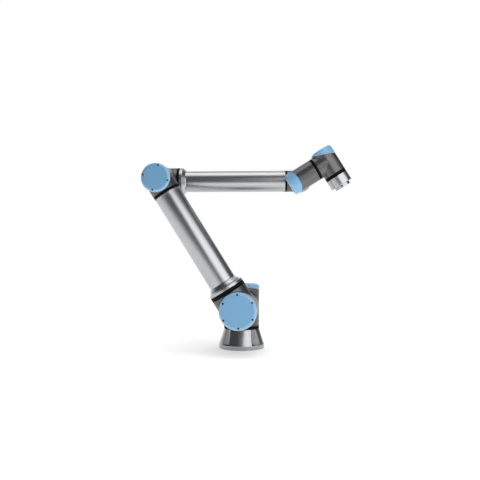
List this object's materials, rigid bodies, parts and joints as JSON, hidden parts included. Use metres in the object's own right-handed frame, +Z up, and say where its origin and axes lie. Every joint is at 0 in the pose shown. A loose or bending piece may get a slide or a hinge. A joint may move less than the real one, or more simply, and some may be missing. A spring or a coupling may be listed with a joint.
{
  "type": "collaborative robot arm",
  "caption": "Articulated robot arm: hollow joint modules and link tubes on a bolted base flange, with a tool flange at its end.",
  "frame": {"origin": "centre of the base flange's mounting face", "axes": "+Z up, along the base joint's axis; +X the way the forearm points in the stored pose; the upper arm hangs on the -Y side"},
  "size_m": [0.8227, 0.3592, 0.8303],
  "materials": {
    "cast_dark_grey": "dark grey powder-coated casting, satin",
    "lid_blue": "light blue moulded plastic, matte",
    "seal_black": "black seal rubber and plastic",
    "anodised_tube": "satin anodised drawn tube",
    "machined_silver": "turned, bright",
    "ground_steel": "ground",
    "copper_winding": "potted copper winding",
    "circuit_board": "solder-masked board"
  },
  "bodies": {
    "base": {"base_flange": "machined_silver", "base_cable_inlet": "seal_black", "base_joint_output_flange": "ground_steel"},
    "shoulder": {"base_joint_housing": "cast_dark_grey", "base_joint_lid": "lid_blue", "base_joint_seal": "seal_black", "base_joint_stator": "copper_winding", "base_joint_gear_ring": "ground_steel", "base_joint_control_board": "circuit_board", "shoulder_joint_output_flange": "ground_steel"},
    "upper_arm": {"shoulder_joint_housing": "cast_dark_grey", "shoulder_joint_lid": "lid_blue", "shoulder_joint_seal": "seal_black", "shoulder_joint_stator": "copper_winding", "shoulder_joint_gear_ring": "ground_steel", "shoulder_joint_control_board": "circuit_board", "shoulder_tube_ring": "seal_black", "upper_arm_tube": "anodised_tube", "elbow_tube_ring": "seal_black", "elbow_joint_housing": "cast_dark_grey", "elbow_joint_lid": "lid_blue", "elbow_joint_seal": "seal_black", "elbow_joint_stator": "copper_winding", "elbow_joint_gear_ring": "ground_steel", "elbow_joint_control_board": "circuit_board"},
    "forearm": {"elbow_joint_output_flange": "ground_steel", "elbow_counterpart": "cast_dark_grey", "elbow_counterpart_lid": "lid_blue", "forearm_elbow_ring": "seal_black", "forearm_tube": "anodised_tube", "forearm_wrist_ring": "seal_black", "wrist_1_joint_housing": "cast_dark_grey", "wrist_1_joint_lid": "lid_blue", "wrist_1_joint_seal": "seal_black", "wrist_1_joint_stator": "copper_winding", "wrist_1_joint_gear_ring": "ground_steel", "wrist_1_joint_control_board": "circuit_board"},
    "wrist_1": {"wrist_1_joint_output_flange": "ground_steel", "wrist_2_joint_housing": "cast_dark_grey", "wrist_2_joint_lid": "lid_blue", "wrist_2_joint_seal": "seal_black", "wrist_2_joint_stator": "copper_winding", "wrist_2_joint_gear_ring": "ground_steel", "wrist_2_joint_control_board": "circuit_board"},
    "wrist_2": {"wrist_2_joint_output_flange": "ground_steel", "wrist_3_joint_housing": "cast_dark_grey", "wrist_3_joint_lid": "lid_blue", "wrist_3_joint_seal": "seal_black", "wrist_3_joint_stator": "copper_winding", "wrist_3_joint_gear_ring": "ground_steel", "wrist_3_joint_control_board": "circuit_board"},
    "wrist_3": {"wrist_3_joint_output_flange": "ground_steel", "tool_flange": "machined_silver", "tool_connector": "seal_black"},
    "base_motor": {"base_joint_rotor": "ground_steel"},
    "shoulder_motor": {"shoulder_joint_rotor": "ground_steel"},
    "elbow_motor": {"elbow_joint_rotor": "ground_steel"},
    "wrist_1_motor": {"wrist_1_joint_rotor": "ground_steel"},
    "wrist_2_motor": {"wrist_2_joint_rotor": "ground_steel"},
    "wrist_3_motor": {"wrist_3_joint_rotor": "ground_steel"}
  },
  "joints": [
    {"name": "base_joint", "type": "hinge", "parent": "base", "child": "shoulder", "pos_m": [0, 0, 0.1807], "axis": [0, 0, 1], "range_deg": [-360, 360]},
    {"name": "shoulder_joint", "type": "hinge", "parent": "shoulder", "child": "upper_arm", "pos_m": [0, -0.1762, 0.1807], "axis": [0, -1, 0], "range_deg": [-360, 360]},
    {"name": "elbow_joint", "type": "hinge", "parent": "upper_arm", "child": "forearm", "pos_m": [-0.32368, -0.1762, 0.70092], "axis": [0, -1, 0], "range_deg": [-38, 281.5]},
    {"name": "wrist_1_joint", "type": "hinge", "parent": "forearm", "child": "wrist_1", "pos_m": [0.24787, -0.0393, 0.70092], "axis": [0, -1, 0], "range_deg": [-360, 360]},
    {"name": "wrist_2_joint", "type": "hinge", "parent": "wrist_1", "child": "wrist_2", "pos_m": [0.24787, -0.17415, 0.70092], "axis": [0.8492, 0, 0.528], "range_deg": [-360, 360]},
    {"name": "wrist_3_joint", "type": "hinge", "parent": "wrist_2", "child": "wrist_3", "pos_m": [0.34965, -0.17415, 0.7642], "axis": [0.528, 0, -0.8492], "range_deg": [-360, 360]},
    {"name": "base_motor_spin", "type": "hinge", "parent": "shoulder", "child": "base_motor", "pos_m": [0, 0, 0.1807], "axis": [0, 0, 1], "range_deg": [-36360, 36360]},
    {"name": "shoulder_motor_spin", "type": "hinge", "parent": "upper_arm", "child": "shoulder_motor", "pos_m": [0, -0.1762, 0.1807], "axis": [0, -1, 0], "range_deg": [-36360, 36360]},
    {"name": "elbow_motor_spin", "type": "hinge", "parent": "upper_arm", "child": "elbow_motor", "pos_m": [-0.32368, -0.1762, 0.70092], "axis": [0, -1, 0], "range_deg": [-3838, 28431.5]},
    {"name": "wrist_1_motor_spin", "type": "hinge", "parent": "forearm", "child": "wrist_1_motor", "pos_m": [0.24787, -0.0393, 0.70092], "axis": [0, -1, 0], "range_deg": [-36360, 36360]},
    {"name": "wrist_2_motor_spin", "type": "hinge", "parent": "wrist_1", "child": "wrist_2_motor", "pos_m": [0.24787, -0.17415, 0.70092], "axis": [0.8492, 0, 0.528], "range_deg": [-36360, 36360]},
    {"name": "wrist_3_motor_spin", "type": "hinge", "parent": "wrist_2", "child": "wrist_3_motor", "pos_m": [0.34965, -0.17415, 0.7642], "axis": [0.528, 0, -0.8492], "range_deg": [-36360, 36360]}
  ],
  "couplings": [
    {"joint": "base_joint", "follows": "base_motor_spin", "ratio": 0.009901},
    {"joint": "shoulder_joint", "follows": "shoulder_motor_spin", "ratio": 0.009901},
    {"joint": "elbow_joint", "follows": "elbow_motor_spin", "ratio": 0.009901},
    {"joint": "wrist_1_joint", "follows": "wrist_1_motor_spin", "ratio": 0.009901},
    {"joint": "wrist_2_joint", "follows": "wrist_2_motor_spin", "ratio": 0.009901},
    {"joint": "wrist_3_joint", "follows": "wrist_3_motor_spin", "ratio": 0.009901}
  ]
}
